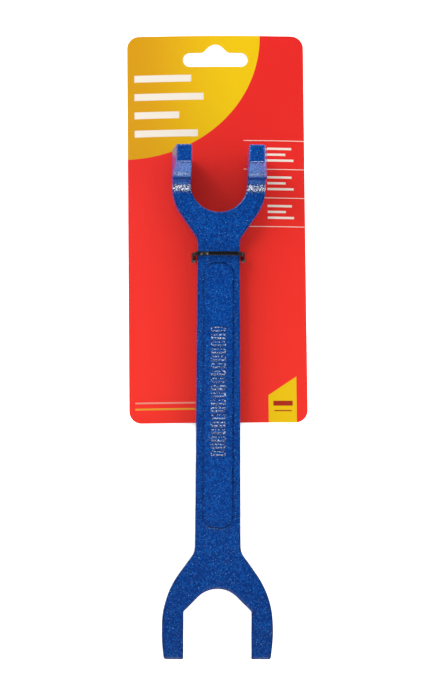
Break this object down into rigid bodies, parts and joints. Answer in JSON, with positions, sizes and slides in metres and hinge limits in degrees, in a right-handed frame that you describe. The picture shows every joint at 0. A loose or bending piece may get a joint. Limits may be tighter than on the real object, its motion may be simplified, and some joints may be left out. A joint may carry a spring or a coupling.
{
  "type": "basin wrench",
  "caption": "One-piece cast basin wrench with a flat large fork and a small fork cranked to 90 degrees, tied by a cable tie to a bowed hanging card.",
  "frame": {"origin": "centre of the whole object's box, on the surface that the card's side edges stand on", "axes": "+Z out of the front of the wrench's plate, +Y along the shank towards the cranked small fork and the hanging slot, +X to the right"},
  "size_m": [0.0894, 0.305, 0.0416],
  "materials": {
    "casting_paint": "blue hammer paint, semi-gloss",
    "tie_nylon": "moulded black nylon",
    "pawl_nylon": "moulded black nylon",
    "card_board": "printed and varnished board"
  },
  "bodies": {
    "wrench": {"wrench_casting": "casting_paint"},
    "tie": {"cable_tie": "tie_nylon"},
    "pawl": {"tie_pawl": "pawl_nylon"},
    "card": {"hang_card": "card_board"}
  },
  "joints": [
    {"name": "tie_slide", "type": "slide", "parent": "wrench", "child": "tie", "axis": [0, -1, 0], "range_m": [-0.007, 0.13]},
    {"name": "card_swing", "type": "hinge", "parent": "tie", "child": "card", "pos_m": [0, 0.04195, 0.0049], "axis": [0, 0, 1], "range_deg": [-4.5, 3]},
    {"name": "pawl_flex", "type": "hinge", "parent": "tie", "child": "pawl", "pos_m": [-0.00105, 0.04195, 0.0008], "axis": [0, -1, 0], "range_deg": [0, 12], "stiffness_Nm_per_rad": 0.0001}
  ]
}
